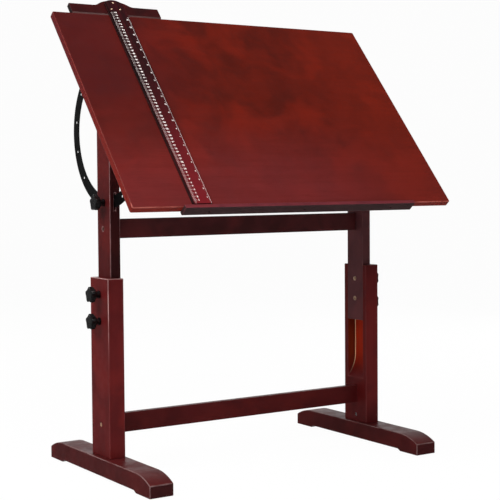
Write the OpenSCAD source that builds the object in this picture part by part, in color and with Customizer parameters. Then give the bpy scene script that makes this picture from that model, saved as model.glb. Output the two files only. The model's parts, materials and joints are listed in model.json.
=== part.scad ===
// Drafting table: two sled feet, telescoping posts, a tilting board held by steel arcs, and a T-square.
// Millimetres, +Z up, +X to the user's right, +Y away from the user.
// The origin is on the floor, at the middle of the whole table's bounding box as it stands.

/* [Tabletop] */
// Width of the board, side to side
board_w = 888; // [865:1:915]
// Depth of the board along its slope
board_l = 599; // [588:1:608]
// Thickness of the board
board_t = 17; // [15:0.5:18]
// Tilt of the board from level
board_tilt = 49.5; // [0:0.25:74.25]
// Distance along the slope from the board's front edge to the tilt axis
pivot_run = 303; // [293:1:313]
// Distance from the drawing surface down to the tilt axis, square to the board
pivot_drop = 90; // [86:1:94]
// Radius of the board's corners, in plan
corner_r = 4; // [2:1:8]

/* [Ledge] */
// Length of the pencil ledge
ledge_w = 642; // [560:2:760]
// Thickness of the ledge strip
ledge_t = 9; // [8:0.5:12]
// Height of the ledge lip above the drawing surface
ledge_lip = 8; // [5:0.5:9]
// Overall depth of the ledge strip, square to the board
ledge_h = 26; // [24:1:30]

/* [Lower frame] */
// Length of each foot, front to back
foot_l = 508; // [480:2:530]
// Width of each foot
foot_w = 59; // [54:1:60]
// Height of each foot
foot_h = 46; // [42:1:48]
// Distance from the middle of the table to a foot's outer side
foot_outer_x = 404; // [402:0.5:406]
// Distance from the middle of the table to a lower post's outer face
post_outer_x = 392.5; // [392:0.5:394]
// Thickness of a lower post, side to side
lower_post_w = 40; // [39.5:0.5:41]
// Depth of a lower post, front to back
lower_post_d = 90; // [86:1:94]
// Height of the lower posts' tops above the floor
lower_post_top = 460; // [455:1:470]
// Height of the middle of the lower stretcher
stretcher_z = 120; // [116:0.5:124]

/* [Upper frame] */
// Thickness of an upper post, side to side
upper_post_w = 26; // [25:0.5:26.5]
// Depth of an upper post, front to back
upper_post_d = 63; // [58:1:64]
// Height of an upper post's lower end above the floor
upper_post_bottom = 315; // [314:1:320]
// Height of the tilt axis above the floor
pivot_z = 798; // [790:1:806]
// Height of the middle of the upper crossbar
crossbar_z = 572.5; // [568:0.5:576]
// Distance of the upper crossbar's middle plane behind the posts' middle plane
crossbar_y = 4; // [0:1:6]
// Height of both crossbars' sections
rail_h = 45; // [42:1:46]
// Thickness of both crossbars
rail_t = 16; // [16:1:20]

/* [Tilt arc] */
// Radius of the middle of the arc band
arc_r = 165; // [163:1:167]
// Width of the arc band
arc_band = 28; // [26:1:30]
// Thickness of the arc plate
arc_t = 2; // [1.5:0.5:2.5]
// Angle between neighbouring holes in the arc
arc_step = 24.75; // [24:0.25:25]
// Radius of the holes in the arc
arc_hole_r = 3.25; // [3:0.25:3.5]

/* [Knobs] */
// Radius over the lobes of a star knob
knob_r = 19; // [16:0.5:20]
// Number of lobes on a star knob
knob_lobes = 5; // [4:1:6]
// Height of the lower knob on each lower post
lower_knob_z = 360; // [356:1:364]
// Height of the upper knob on each lower post
upper_knob_z = 422; // [414:1:424]

/* [T-square] */
// Distance of the T-square's centre line left of the board's middle
square_x = -271; // [-320:1:320]
// Length of the head
head_l = 241; // [220:1:250]
// Width of the blade
blade_w = 50.5; // [45:0.5:55]
// Thickness of the blade
blade_t = 2.8; // [2:0.2:4]
// Thickness of the head
head_t = 12; // [10:1:14]

/* [Hidden] */

// Facets on round surfaces
$fn = 72;
// Gap around a fixed fastener in its hole, and around a turning one
fit_gap = 0.05;
// Gap between an upper post and each wall of its channel
slide_gap = 0.2;
// Overlap used where one shape is cut from another
cut = 1;
// The posts stand this far behind the origin. The table reaches forward to the top of the ledge's lip,
// and back to the rear ends of the feet.
posts_y = ((pivot_run + ledge_t) * cos(board_tilt) + (pivot_drop + ledge_lip) * sin(board_tilt)
    - foot_l / 2) / 2;

// Posts
post_inner_x = post_outer_x - lower_post_w;
channel_floor_x = post_inner_x + upper_post_w + slide_gap;
channel_d = upper_post_d + 2 * slide_gap;
upper_outer_x = post_inner_x + upper_post_w;
upper_mid_x = post_inner_x + upper_post_w / 2;
post_mid_x = post_outer_x - lower_post_w / 2;
// Radius of the cutter that made the channel, and the height where its curved run-out starts
cutter_r = 82;
channel_runout_z = 223;

// Feet
foot_nose_run = 68;
foot_nose_drop = 18;
foot_nose_r = (foot_nose_run * foot_nose_run + foot_nose_drop * foot_nose_drop) / (2 * foot_nose_drop);
pad_l = 65;
pad_h = 5;
pad_ramp = 10;

// Crossbars run between the posts' inner faces, with a hair of clearance at each end
rail_l = 2 * post_inner_x - 2 * fit_gap;
rail_bolt_r = 3;
rail_bolt_head_r = 4.5;
rail_bolt_head_h = 4;
rail_bolt_recess_r = 5.5;
rail_bolt_socket_r = 2.6;
rail_bolt_socket_depth = 2.5;
stretcher_bolt_sink = 5;
crossbar_bolt_sink = 5;
rail_bolt_reach = 45;
rail_nut_in = 35;
barrel_nut_r = 5;
barrel_nut_l = 12;
rail_dowel_r = 4;
rail_dowel_l = 20;
rail_dowel_spread = 13;

// Joint between a foot and its post
foot_bolt_r = 4;
foot_bolt_head_r = 7;
foot_bolt_head_h = 8;
foot_bolt_sink = 14;
foot_bolt_sink_r = 8;
foot_bolt_past_nut = 2;
foot_bolt_bore_past_nut = 10;
foot_nut_z = 64;
foot_nut_l = 28;
foot_nut_inset = 3.5;
foot_nut_slot_w = 1.2;
foot_nut_slot_depth = 1.2;
foot_dowel_r = 5;
foot_dowel_half = 24;
foot_dowel_y = 28;

// Steel plate that the height knobs press on, let into each upper post's outer face
clamp_t = 2.5;
clamp_w = 36;
clamp_z = [342, 452];
clamp_bolt_z = [371, 423];
clamp_bolt_r = 4;
clamp_ring_r = 5.5;
clamp_ring_t = 1;
clamp_socket_r = 2.9;
clamp_socket_depth = 6;

// Slot through each upper post for the arc
slot_w = 4;
slot_above = 23;
slot_below = 18;
tilt_knob_z = pivot_z - arc_r;

// Pivot
pivot_bolt_r = 4;
pivot_head_r = 10;
pivot_head_h = 4;
pivot_head_top_r = 6;
pivot_washer_t = 1;
pivot_washer_r = 10;
pivot_nut_r = 7.5;
pivot_nut_h = 7;
pivot_bolt_tail = 3;

// Batten under the board, on the inner side of each upper post
batten_t = 20;
batten_half = 200;
batten_end_h = 30;
batten_end_flat = 60;
batten_hub_flat = 40;
batten_hub_drop = 26;
batten_outer_x = post_inner_x - pivot_washer_t;
batten_inner_x = batten_outer_x - batten_t;
batten_screw_s = [-185, -155, 155, 185];
batten_screw_sink = 12;
batten_screw_bite = 12;
batten_screw_l = batten_end_h - batten_screw_sink + batten_screw_bite;

// Wood screws
screw_r = 2;
screw_head_r = 4.2;
screw_head_h = 2.4;
screw_socket_r = 1.2;

// Arc
arc_outer_r = arc_r + arc_band / 2;
arc_inner_r = arc_r - arc_band / 2;
arc_x = upper_mid_x - arc_t / 2;
underside_n = pivot_drop - board_t;
arc_foot_w = 22;
arc_foot_near = sqrt(pow(arc_inner_r, 2) - pow(underside_n, 2));
arc_foot_far = sqrt(pow(arc_outer_r, 2) - pow(underside_n, 2));
arc_screw_spread = 9;
arc_screw_l = 13;

// Knobs: washer, hub and head, from the post outwards
knob_heights = [lower_knob_z, upper_knob_z];
washer_t = 1.5;
washer_r = 9;
hub_r = 7.5;
hub_l = 7.5;
head_h = 18;
head_root_r = 9;
head_flare_h = 8;
head_edge_h = 1.5;
head_edge_in = 1.2;
head_dome_in = 6;
head_dome_h = 0.6;
knob_flute_r = 19;
knob_flute_out = 14.5;
stud_r = 4;
stud_in_knob = 18;
// Turn of each side's knobs: one lobe up on the left, and one to the rear on the right
left_knob_turn = 180;
right_knob_turn = 90;
insert_r = 6;
insert_in = 0.5;
tilt_stud_tip_l = 4;
tilt_stud_tip_r = 2.8;
tilt_stud_clear = 0.3;

// T-square, in the board's own directions
blade_lift = 0.3;
blade_end_gap = 6.3;
blade_shoulder = board_l + 39.5;
blade_crown = 12.5;
blade_end_r = (pow(blade_w / 2, 2) + pow(blade_crown, 2)) / (2 * blade_crown);
head_gap = 0.3;
head_wing = 33;
head_bevel = 4;
head_dome = 19;
head_dome_half = 47;
head_dome_r = (pow(head_dome_half, 2) + pow(head_dome, 2)) / (2 * head_dome);
head_cove_r = 22;
rivet_r = 2.3;
rivet_top_r = 1.4;
rivet_shank_r = 1.2;
rivet_h = 0.8;
rivet_in = 8;
rivet_spread = 11.5;
rivet_high = blade_shoulder + 2.5;
rivet_low = blade_shoulder - 20;
rivet_places = [[0, rivet_high], [-rivet_spread, rivet_low], [rivet_spread, rivet_low]];

ledge_screw_x = [-255, 0, 255];
ledge_screw_l = 26;
ledge_screw_head_r = 3;

wood = "#5b1c1c";
wood_dark = "#45161a";
black_steel = "#1b1b1d";
black_plastic = "#141415";
brass = "#b08d4a";
zinc = "#b9bcc0";
beech = "#c9a06c";

// ---------------------------------------------------------------- shared shapes

// Moves a part from the posts' own middle to its place over the origin
module placed() {
    translate([0, posts_y, 0]) children();
}

// Draws a right-hand part, or its mirror image on the left
module on_side(side) {
    if (side < 0) mirror([1, 0, 0]) children();
    else children();
}

// Draws a right-hand part on both sides
module both_sides() {
    children();
    mirror([1, 0, 0]) children();
}

// A cylinder from x0 to x1 along X
module rod_x(x0, x1, r) {
    translate([x0, 0, 0]) rotate([0, 90, 0]) cylinder(h = x1 - x0, r = r);
}

// A block given by its lowest and highest corners
module block(lo, hi) {
    translate(lo) cube(hi - lo);
}

// Extrudes an outline drawn in the Y-Z plane from x0 to x1
module slab_x(x0, x1) {
    translate([x0, 0, 0]) rotate([90, 0, 90]) linear_extrude(x1 - x0) children();
}

// Axes turned with the board, centred on the tilt axis
module pivot_frame() {
    translate([0, 0, pivot_z]) rotate([board_tilt, 0, 0]) children();
}

// Axes of the drawing surface: X across, Y up the slope from the front edge, Z out of the surface
module board_frame() {
    pivot_frame() translate([0, -pivot_run, pivot_drop]) children();
}

// A cross dowel: a barrel along Y with a cross hole along X for the bolt
module barrel_nut(x, y, z, bolt_r) {
    difference() {
        translate([x, y + barrel_nut_l / 2, z]) rotate([90, 0, 0])
            cylinder(h = barrel_nut_l, r = barrel_nut_r);
        translate([0, y, z]) rod_x(x - barrel_nut_r - cut, x + barrel_nut_r + cut, bolt_r + fit_gap);
    }
}

// A countersunk wood screw that points up, with the top of its head at z = 0
module wood_screw(length, head_r = screw_head_r) {
    difference() {
        union() {
            cylinder(h = screw_head_h, r1 = head_r, r2 = screw_r);
            translate([0, 0, screw_head_h - fit_gap]) cylinder(h = length - screw_head_h, r = screw_r);
        }
        translate([0, 0, -cut]) cylinder(h = cut + screw_head_h / 2, r = screw_socket_r);
    }
}

// The hole that a wood screw of the same length fills
module wood_screw_hole(length, head_r = screw_head_r, sink = 0) {
    translate([0, 0, -sink - cut]) cylinder(h = sink + cut, r = head_r + fit_gap);
    cylinder(h = screw_head_h, r1 = head_r + fit_gap, r2 = screw_r + fit_gap);
    cylinder(h = length + 2 * fit_gap, r = screw_r + fit_gap);
}

// ---------------------------------------------------------------- lower frame

module foot_outline() {
    half = foot_l / 2;
    flat = half - foot_nose_run;
    difference() {
        union() {
            translate([-flat, 0]) square([2 * flat, foot_h]);
            for (end = [-1, 1]) intersection() {
                translate([end * flat, foot_h - foot_nose_r]) circle(r = foot_nose_r, $fn = 180);
                translate([end > 0 ? 0 : -half, 0]) square([half, foot_h]);
            }
        }
        polygon([[-half + pad_l, -cut], [-half + pad_l, 0], [-half + pad_l + pad_ramp, pad_h],
            [half - pad_l - pad_ramp, pad_h], [half - pad_l, 0], [half - pad_l, -cut]]);
    }
}

module foot(side) {
    color(wood) on_side(side) difference() {
        slab_x(foot_outer_x - foot_w, foot_outer_x) foot_outline();
        translate([post_mid_x, 0, 0]) {
            translate([0, 0, pad_h - cut]) cylinder(h = foot_bolt_sink + cut, r = foot_bolt_sink_r);
            cylinder(h = foot_h + cut, r = foot_bolt_r + fit_gap);
            for (y = [-foot_dowel_y, foot_dowel_y])
                translate([0, y, foot_h - foot_dowel_half - cut])
                    cylinder(h = foot_dowel_half + 2 * cut, r = foot_dowel_r + fit_gap);
        }
    }
}

module lower_post(side) {
    color(wood) on_side(side) difference() {
        block([post_inner_x, -lower_post_d / 2, foot_h], [post_outer_x, lower_post_d / 2, lower_post_top]);
        block([post_inner_x - cut, -channel_d / 2, channel_runout_z],
            [channel_floor_x, channel_d / 2, lower_post_top + cut]);
        translate([channel_floor_x - cutter_r, channel_d / 2, channel_runout_z])
            rotate([90, 0, 0]) cylinder(h = channel_d, r = cutter_r, $fn = 180);
        for (z = knob_heights)
            translate([0, 0, z]) rod_x(channel_floor_x - cut, post_outer_x + cut, insert_r + fit_gap);
        translate([0, 0, stretcher_z]) {
            rod_x(post_inner_x - cut, post_outer_x + cut, rail_bolt_r + fit_gap);
            rod_x(post_outer_x - stretcher_bolt_sink, post_outer_x + cut, rail_bolt_recess_r);
            for (z = [-rail_dowel_spread, rail_dowel_spread])
                translate([0, 0, z]) rod_x(post_inner_x - cut, post_inner_x + rail_dowel_l + cut,
                    rail_dowel_r + fit_gap);
        }
        translate([post_inner_x, 0, foot_nut_z])
            rod_x(-cut, foot_nut_inset + foot_nut_l + cut, barrel_nut_r + fit_gap);
        translate([post_mid_x, 0, foot_h - cut]) {
            cylinder(h = foot_nut_z - foot_h + barrel_nut_r + foot_bolt_bore_past_nut,
                r = foot_bolt_r + fit_gap);
            for (y = [-foot_dowel_y, foot_dowel_y])
                translate([0, y, 0]) cylinder(h = foot_dowel_half + 2 * cut, r = foot_dowel_r + fit_gap);
        }
    }
}

// One crossbar with bolt, cross-dowel and dowel holes in each end
module rail(y, z) {
    color(wood) difference() {
        block([-rail_l / 2, y - rail_t / 2, z - rail_h / 2], [rail_l / 2, y + rail_t / 2, z + rail_h / 2]);
        both_sides() translate([0, y, z]) {
            rod_x(rail_l / 2 - rail_bolt_reach - cut, rail_l / 2 + cut, rail_bolt_r + fit_gap);
            for (dz = [-rail_dowel_spread, rail_dowel_spread])
                translate([0, 0, dz])
                    rod_x(rail_l / 2 - rail_dowel_l - cut, rail_l / 2 + cut, rail_dowel_r + fit_gap);
            translate([post_inner_x - rail_nut_in, rail_t / 2 + cut, 0]) rotate([90, 0, 0])
                cylinder(h = rail_t / 2 + barrel_nut_l / 2 + cut, r = barrel_nut_r + fit_gap);
        }
    }
}

// A bolt from the side that holds a crossbar. Its head sits in a recess and has a hexagon socket.
module rail_bolt(y, z, head_x) {
    color(brass) translate([0, y, z]) difference() {
        union() {
            rod_x(post_inner_x - rail_bolt_reach, head_x + fit_gap, rail_bolt_r);
            rod_x(head_x, head_x + rail_bolt_head_h, rail_bolt_head_r);
        }
        translate([head_x + rail_bolt_head_h - rail_bolt_socket_depth, 0, 0]) rotate([0, 90, 0])
            cylinder(h = rail_bolt_socket_depth + cut, r = rail_bolt_socket_r, $fn = 6);
    }
}

module rail_nuts(y, z) {
    color(zinc) both_sides() barrel_nut(post_inner_x - rail_nut_in, y, z, rail_bolt_r);
}

module rail_dowels(y, z) {
    color(beech) both_sides()
        for (dz = [-rail_dowel_spread, rail_dowel_spread])
            translate([0, y, z + dz])
                rod_x(post_inner_x - rail_dowel_l, post_inner_x + rail_dowel_l, rail_dowel_r);
}

module foot_bolts() {
    head_top = pad_h + foot_bolt_sink;
    color(zinc) both_sides() translate([post_mid_x, 0, 0]) difference() {
        union() {
            translate([0, 0, head_top - foot_bolt_head_h])
                cylinder(h = foot_bolt_head_h, r = foot_bolt_head_r);
            translate([0, 0, head_top - fit_gap])
                cylinder(h = foot_nut_z + barrel_nut_r + foot_bolt_past_nut - head_top, r = foot_bolt_r);
        }
        translate([0, 0, head_top - foot_bolt_head_h - cut])
            cylinder(h = foot_bolt_head_h / 2 + cut, r = foot_bolt_r, $fn = 6);
    }
}

module foot_barrel_nuts() {
    start = post_inner_x + foot_nut_inset;
    color(zinc) both_sides() difference() {
        translate([0, 0, foot_nut_z]) rod_x(start, start + foot_nut_l, barrel_nut_r);
        translate([post_mid_x, 0, foot_nut_z - barrel_nut_r - cut])
            cylinder(h = 2 * (barrel_nut_r + cut), r = foot_bolt_r + fit_gap);
        translate([0, 0, foot_nut_z]) block([start - cut, -barrel_nut_r - cut, -foot_nut_slot_w / 2],
            [start + foot_nut_slot_depth, barrel_nut_r + cut, foot_nut_slot_w / 2]);
    }
}

module foot_dowels() {
    color(beech) both_sides()
        for (y = [-foot_dowel_y, foot_dowel_y])
            translate([post_mid_x, y, foot_h - foot_dowel_half])
                cylinder(h = 2 * foot_dowel_half, r = foot_dowel_r);
}

// ---------------------------------------------------------------- upper frame

module upper_post(side) {
    color(wood) on_side(side) difference() {
        union() {
            block([post_inner_x, -upper_post_d / 2, upper_post_bottom],
                [upper_outer_x, upper_post_d / 2, pivot_z]);
            translate([0, 0, pivot_z]) rod_x(post_inner_x, upper_outer_x, upper_post_d / 2);
        }
        translate([0, 0, pivot_z])
            rod_x(post_inner_x - cut, upper_outer_x + cut, pivot_bolt_r + fit_gap);
        block([upper_mid_x - slot_w / 2, -upper_post_d / 2 - cut, tilt_knob_z - slot_below],
            [upper_mid_x + slot_w / 2, upper_post_d / 2 + cut, tilt_knob_z + slot_above]);
        translate([0, 0, tilt_knob_z]) rod_x(upper_mid_x, upper_outer_x + cut, insert_r + fit_gap);
        translate([0, crossbar_y, crossbar_z]) {
            rod_x(post_inner_x - cut, upper_outer_x + cut, rail_bolt_r + fit_gap);
            rod_x(upper_outer_x - crossbar_bolt_sink, upper_outer_x + cut, rail_bolt_recess_r);
            for (dz = [-rail_dowel_spread, rail_dowel_spread])
                translate([0, 0, dz]) rod_x(post_inner_x - cut, post_inner_x + rail_dowel_l + cut,
                    rail_dowel_r + fit_gap);
        }
        block([upper_outer_x - clamp_t, -clamp_w / 2 - fit_gap, clamp_z[0] - fit_gap],
            [upper_outer_x + cut, clamp_w / 2 + fit_gap, clamp_z[1] + fit_gap]);
        for (z = clamp_bolt_z)
            translate([0, 0, z]) rod_x(post_inner_x - cut, upper_outer_x + cut, clamp_bolt_r + fit_gap);
    }
}

module clamp_plates() {
    color(zinc) both_sides() difference() {
        block([upper_outer_x - clamp_t + fit_gap, -clamp_w / 2, clamp_z[0]],
            [upper_outer_x, clamp_w / 2, clamp_z[1]]);
        for (z = clamp_bolt_z)
            translate([0, 0, z]) rod_x(upper_outer_x - clamp_t - cut, upper_outer_x + cut,
                clamp_bolt_r + fit_gap);
    }
}

// Ringed socket bolts on the inner faces, threaded into the clamp plates
module clamp_plate_bolts() {
    color(brass) both_sides()
        for (z = clamp_bolt_z) translate([0, 0, z]) difference() {
            union() {
                rod_x(post_inner_x - clamp_ring_t, post_inner_x - fit_gap, clamp_ring_r);
                rod_x(post_inner_x - clamp_ring_t, upper_outer_x - fit_gap, clamp_bolt_r);
            }
            translate([post_inner_x - clamp_ring_t - cut, 0, 0]) rotate([0, 90, 0])
                cylinder(h = clamp_socket_depth + cut, r = clamp_socket_r, $fn = 6);
        }
}

module pivot_bolts() {
    tail = batten_inner_x - pivot_washer_t - pivot_nut_h - pivot_bolt_tail;
    color(zinc) both_sides() translate([0, 0, pivot_z]) {
        rod_x(tail, upper_outer_x + fit_gap, pivot_bolt_r);
        translate([upper_outer_x + fit_gap / 2, 0, 0]) rotate([0, 90, 0])
            cylinder(h = pivot_head_h, r1 = pivot_head_r, r2 = pivot_head_top_r);
    }
}

// One washer between post and batten and one under the nut, on each side
module pivot_washers() {
    color(zinc) both_sides() translate([0, 0, pivot_z])
        for (x = [batten_outer_x, batten_inner_x - pivot_washer_t]) difference() {
            rod_x(x + fit_gap, x + pivot_washer_t - fit_gap, pivot_washer_r);
            rod_x(x - cut, x + pivot_washer_t + cut, pivot_bolt_r + fit_gap);
        }
}

module pivot_nuts() {
    outer = batten_inner_x - pivot_washer_t;
    color(zinc) both_sides() translate([0, 0, pivot_z]) difference() {
        translate([outer - pivot_nut_h, 0, 0]) rotate([0, 90, 0])
            cylinder(h = pivot_nut_h, r = pivot_nut_r, $fn = 6);
        rod_x(outer - pivot_nut_h - cut, outer + cut, pivot_bolt_r + fit_gap);
    }
}

// ---------------------------------------------------------------- knobs

// Outline of a star knob's head: a disc with round flutes cut from its rim
module star_outline() {
    difference() {
        circle(r = knob_r);
        for (i = [0 : knob_lobes - 1])
            rotate(i * 360 / knob_lobes + 180 / knob_lobes)
                translate([knob_r + knob_flute_out, 0]) circle(r = knob_flute_r);
    }
}

// A star knob whose hub starts at z = 0, with a flared head and a blind hole for its stud
module star_knob() {
    top = hub_l + head_h;
    difference() {
        union() {
            cylinder(h = hub_l + cut, r = hub_r);
            intersection() {
                translate([0, 0, hub_l]) linear_extrude(head_h) star_outline();
                rotate_extrude() polygon([[0, hub_l], [head_root_r, hub_l], [knob_r, hub_l + head_flare_h],
                    [knob_r, top - head_edge_h], [knob_r - head_edge_in, top - head_dome_h],
                    [knob_r - head_dome_in, top], [0, top]]);
            }
        }
        translate([0, 0, -cut]) cylinder(h = stud_in_knob + cut + fit_gap, r = stud_r + fit_gap);
    }
}

// Places a knob on the outside of a post whose outer face is at face_x
module knob_place(side, face_x, z) {
    turn = side < 0 ? left_knob_turn : right_knob_turn;
    on_side(side) translate([face_x + washer_t + fit_gap, 0, z])
        rotate([0, 90, 0]) rotate(turn) children();
}

module knob(side, face_x, z) {
    color(black_plastic) knob_place(side, face_x, z) star_knob();
}

module washers(face_x, heights) {
    color(black_steel) both_sides() for (z = heights) translate([0, 0, z]) difference() {
        rod_x(face_x, face_x + washer_t, washer_r);
        rod_x(face_x - cut, face_x + washer_t + cut, stud_r + fit_gap);
    }
}

// Threaded inserts, flush or just below both faces of the wood that they sit in
module inserts(x0, x1, heights) {
    color(brass) both_sides() for (z = heights) translate([0, 0, z]) difference() {
        rod_x(x0 + insert_in, x1 - fit_gap, insert_r);
        rod_x(x0 - cut, x1 + cut, stud_r + fit_gap);
    }
}

// Stud of a height knob: it ends flush with the channel's floor, just clear of the clamp plate
module height_stud(side, z) {
    color(zinc) on_side(side) translate([0, 0, z])
        rod_x(channel_floor_x, post_outer_x + washer_t + stud_in_knob, stud_r);
}

// Stud of a tilt knob: its narrow tip stops just short of the arc plate
module tilt_stud(side) {
    tip_x = upper_mid_x + arc_t / 2 + tilt_stud_clear;
    color(zinc) on_side(side) translate([0, 0, tilt_knob_z]) {
        rod_x(tip_x, tip_x + tilt_stud_tip_l + fit_gap, tilt_stud_tip_r);
        rod_x(tip_x + tilt_stud_tip_l, upper_outer_x + washer_t + stud_in_knob, stud_r);
    }
}

// ---------------------------------------------------------------- board

// A rectangle with rounded corners, centred across and starting at y = 0
module rounded_plan(w, l, r) {
    translate([-w / 2 + r, 0]) square([w - 2 * r, l]);
    translate([-w / 2, r]) square([w, l - 2 * r]);
    for (x = [-w / 2 + r, w / 2 - r], y = [r, l - r]) translate([x, y]) circle(r = r);
}

module tabletop() {
    color(wood) board_frame() difference() {
        translate([0, 0, -board_t]) linear_extrude(board_t) rounded_plan(board_w, board_l, corner_r);
        for (x = ledge_screw_x) ledge_screw_place(x) wood_screw_hole(ledge_screw_l, ledge_screw_head_r);
        both_sides() {
            batten_screw_places() wood_screw_hole(batten_screw_l);
            arc_screw_places() wood_screw_hole(arc_screw_l);
        }
    }
}

module ledge_screw_place(x) {
    translate([x, -ledge_t, -board_t / 2]) rotate([-90, 0, 0]) children();
}

module ledge() {
    color(wood_dark) board_frame() difference() {
        block([-ledge_w / 2, -ledge_t, ledge_lip - ledge_h], [ledge_w / 2, -fit_gap, ledge_lip]);
        for (x = ledge_screw_x) ledge_screw_place(x) wood_screw_hole(ledge_screw_l, ledge_screw_head_r);
    }
}

module ledge_screws() {
    color(black_steel) board_frame()
        for (x = ledge_screw_x) ledge_screw_place(x) wood_screw(ledge_screw_l, ledge_screw_head_r);
}

// Batten outline about the tilt axis: long top edge, shallow ends, and a deeper middle for the pivot
module batten_outline() {
    top = underside_n - fit_gap;
    low = top - batten_end_h;
    corner = batten_half - batten_end_flat;
    hub = batten_hub_flat / 2;
    polygon([[-batten_half, top], [-batten_half, low], [-corner, low], [-hub, -batten_hub_drop],
        [hub, -batten_hub_drop], [corner, low], [batten_half, low], [batten_half, top]]);
}

// Screws up through the batten's ends into the board
module batten_screw_places() {
    for (s = batten_screw_s)
        translate([(batten_inner_x + batten_outer_x) / 2, pivot_run + s,
            -board_t - batten_end_h + batten_screw_sink - fit_gap]) children();
}

module batten(side) {
    color(wood) on_side(side) difference() {
        pivot_frame() slab_x(batten_inner_x, batten_outer_x) difference() {
            batten_outline();
            circle(r = pivot_bolt_r + fit_gap);
        }
        board_frame() batten_screw_places()
            wood_screw_hole(batten_screw_l, sink = batten_screw_sink);
    }
}

module batten_screws() {
    color(zinc) both_sides() board_frame() batten_screw_places()
        wood_screw(batten_screw_l);
}

// Arc outline about the tilt axis: a band cut off square at the board's underside
module arc_outline() {
    difference() {
        circle(r = arc_outer_r, $fn = 240);
        circle(r = arc_inner_r, $fn = 240);
        translate([-2 * arc_outer_r, underside_n - fit_gap]) square(4 * arc_outer_r);
        for (i = [-3 : 3]) rotate(i * arc_step) translate([0, -arc_r]) circle(r = arc_hole_r);
    }
}

// Two screws through each end of an arc into the board
module arc_screw_places() {
    for (end = [-1, 1], step = [-1, 1])
        translate([upper_mid_x + arc_t / 2 + arc_foot_w / 2,
            pivot_run + end * (arc_foot_near + arc_foot_far) / 2 + step * arc_screw_spread,
            -board_t - arc_t - fit_gap]) children();
}

module tilt_arc(side) {
    low = underside_n - fit_gap - arc_t;
    color(black_steel) on_side(side) difference() {
        pivot_frame() {
            slab_x(arc_x, arc_x + arc_t) arc_outline();
            for (end = [-1, 1]) {
                near = end > 0 ? arc_foot_near : -arc_foot_far;
                far = near + arc_foot_far - arc_foot_near;
                block([arc_x, near, low], [arc_x + arc_t + arc_foot_w, far, underside_n - fit_gap]);
            }
        }
        board_frame() arc_screw_places() wood_screw_hole(arc_screw_l);
    }
}

module arc_screws() {
    color(black_steel) both_sides() board_frame() arc_screw_places() wood_screw(arc_screw_l);
}

// ---------------------------------------------------------------- T-square

// Axes of the board moved to the T-square's centre line and lifted clear of the surface
module square_frame() {
    board_frame() translate([square_x, 0, blade_lift]) children();
}

module blade_outline() {
    translate([-blade_w / 2, blade_end_gap]) square([blade_w, blade_shoulder - blade_end_gap]);
    intersection() {
        translate([0, blade_shoulder + blade_crown - blade_end_r]) circle(r = blade_end_r);
        translate([-blade_w / 2, blade_shoulder - cut]) square([blade_w, blade_crown + 2 * cut]);
    }
}

// Straight wings with a dome over the blade, and a cove where each wing meets the dome
module head_outline() {
    near = board_l + head_gap;
    far = near + head_wing;
    dome = [0, far + head_dome - head_dome_r];
    cove_y = far + head_cove_r;
    cove = [sqrt(pow(head_dome_r + head_cove_r, 2) - pow(cove_y - dome[1], 2)), cove_y];
    // Point where the cove runs into the dome
    meet = dome + (cove - dome) * head_dome_r / (head_dome_r + head_cove_r);
    difference() {
        union() {
            translate([-head_l / 2, near]) square([head_l, head_wing]);
            intersection() {
                translate(dome) circle(r = head_dome_r);
                translate([-head_l / 2, near]) square([head_l, 2 * head_wing]);
            }
            polygon([[-cove[0], near], [cove[0], near], [cove[0], far], meet, [-meet[0], meet[1]],
                [-cove[0], far]]);
        }
        for (s = [-1, 1]) translate([s * cove[0], cove[1]]) circle(r = head_cove_r);
    }
}

module t_square_head() {
    near = board_l + head_gap;
    bevel_w = head_bevel * sqrt(2);
    color(wood) square_frame() difference() {
        translate([0, 0, -head_t]) linear_extrude(head_t - fit_gap) head_outline();
        // Bevel along the upper edge next to the board
        translate([-head_l / 2 - cut, near, 0]) rotate([45, 0, 0])
            translate([0, -bevel_w, -bevel_w / 2]) cube([head_l + 2 * cut, 2 * bevel_w, bevel_w]);
        rivet_places() translate([0, 0, -rivet_in])
            cylinder(h = rivet_in + cut, r = rivet_shank_r + fit_gap);
    }
}

module rivet_places() {
    for (p = rivet_places) translate([p[0], p[1], 0]) children();
}

module t_square_blade() {
    color(wood_dark) square_frame() difference() {
        linear_extrude(blade_t) blade_outline();
        rivet_places() translate([0, 0, -cut]) cylinder(h = blade_t + 2 * cut, r = rivet_shank_r + fit_gap);
    }
}

module t_square_rivets() {
    color(brass) square_frame() rivet_places() {
        translate([0, 0, -rivet_in + fit_gap]) cylinder(h = rivet_in + blade_t, r = rivet_shank_r);
        translate([0, 0, blade_t]) cylinder(h = rivet_h, r1 = rivet_r, r2 = rivet_top_r);
    }
}

placed() foot(-1);  // foot_left
placed() foot(1);  // foot_right
placed() lower_post(-1);  // lower_post_left
placed() lower_post(1);  // lower_post_right
placed() rail(0, stretcher_z);  // lower_stretcher
placed() foot_bolts();
placed() foot_barrel_nuts();
placed() foot_dowels();
placed() both_sides() rail_bolt(0, stretcher_z, post_outer_x - stretcher_bolt_sink);  // stretcher_bolts
placed() rail_nuts(0, stretcher_z);  // stretcher_barrel_nuts
placed() rail_dowels(0, stretcher_z);  // stretcher_dowels
placed() inserts(channel_floor_x, post_outer_x, knob_heights);  // height_knob_inserts
placed() washers(post_outer_x, knob_heights);  // height_knob_washers
placed() upper_post(-1);  // upper_post_left
placed() upper_post(1);  // upper_post_right
placed() rail(crossbar_y, crossbar_z);  // upper_crossbar
placed() both_sides() rail_bolt(crossbar_y, crossbar_z, upper_outer_x - crossbar_bolt_sink);  // crossbar_bolts
placed() rail_nuts(crossbar_y, crossbar_z);  // crossbar_barrel_nuts
placed() rail_dowels(crossbar_y, crossbar_z);  // crossbar_dowels
placed() clamp_plates();
placed() clamp_plate_bolts();
placed() inserts(upper_mid_x + slot_w / 2, upper_outer_x, [tilt_knob_z]);  // tilt_knob_inserts
placed() washers(upper_outer_x, [tilt_knob_z]);  // tilt_knob_washers
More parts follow.
